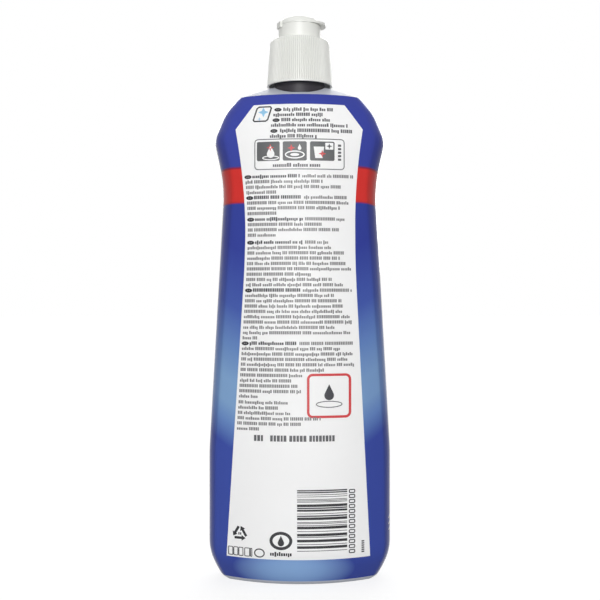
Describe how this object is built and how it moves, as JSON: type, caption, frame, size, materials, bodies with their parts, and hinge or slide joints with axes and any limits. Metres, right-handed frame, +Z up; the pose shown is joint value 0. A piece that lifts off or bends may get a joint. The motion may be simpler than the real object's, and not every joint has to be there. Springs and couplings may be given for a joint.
{
  "type": "dishwasher rinse aid bottle",
  "caption": "Oval waisted plastic bottle in a full-length printed shrink sleeve, filled with liquid and closed by a ribbed screw cap with a flip-top lid.",
  "frame": {"origin": "centre of the standing face, on the floor", "axes": "+Z up through the neck, X across the wide front and back, the back panel with the small print faces -Y"},
  "size_m": [0.0938, 0.054, 0.2894],
  "materials": {
    "bottle_plastic": "natural translucent moulded plastic, satin",
    "printed_film": "glossy printed shrink film, blue with a red band and a white back panel",
    "liquid": "clear blue liquid",
    "liner_foam": "white foamed seal",
    "closure_plastic": "white moulded plastic, satin"
  },
  "bodies": {
    "bottle": {"bottle": "bottle_plastic", "shrink_sleeve": "printed_film", "rinse_aid_liquid": "liquid"},
    "liner": {"seal_liner": "liner_foam"},
    "cap": {"screw_cap": "closure_plastic"},
    "lid": {"flip_lid": "closure_plastic", "living_hinge": "closure_plastic"}
  },
  "joints": [
    {"name": "cap_lift", "type": "slide", "parent": "bottle", "child": "liner", "axis": [0, 0, 1], "range_m": [0, 0.00634]},
    {"name": "cap_turn", "type": "hinge", "parent": "liner", "child": "cap", "pos_m": [0, 0, 0.275], "axis": [0, 0, 1], "range_deg": [0, 540]},
    {"name": "lid_hinge", "type": "hinge", "parent": "cap", "child": "lid", "pos_m": [-0.01094, -0.00355, 0.28465], "axis": [0.309, -0.9511, 0], "range_deg": [0, 165], "deforming": ["living_hinge"]}
  ],
  "couplings": [
    {"joint": "cap_lift", "follows": "cap_turn", "m_per_rad": 0.00067322}
  ]
}
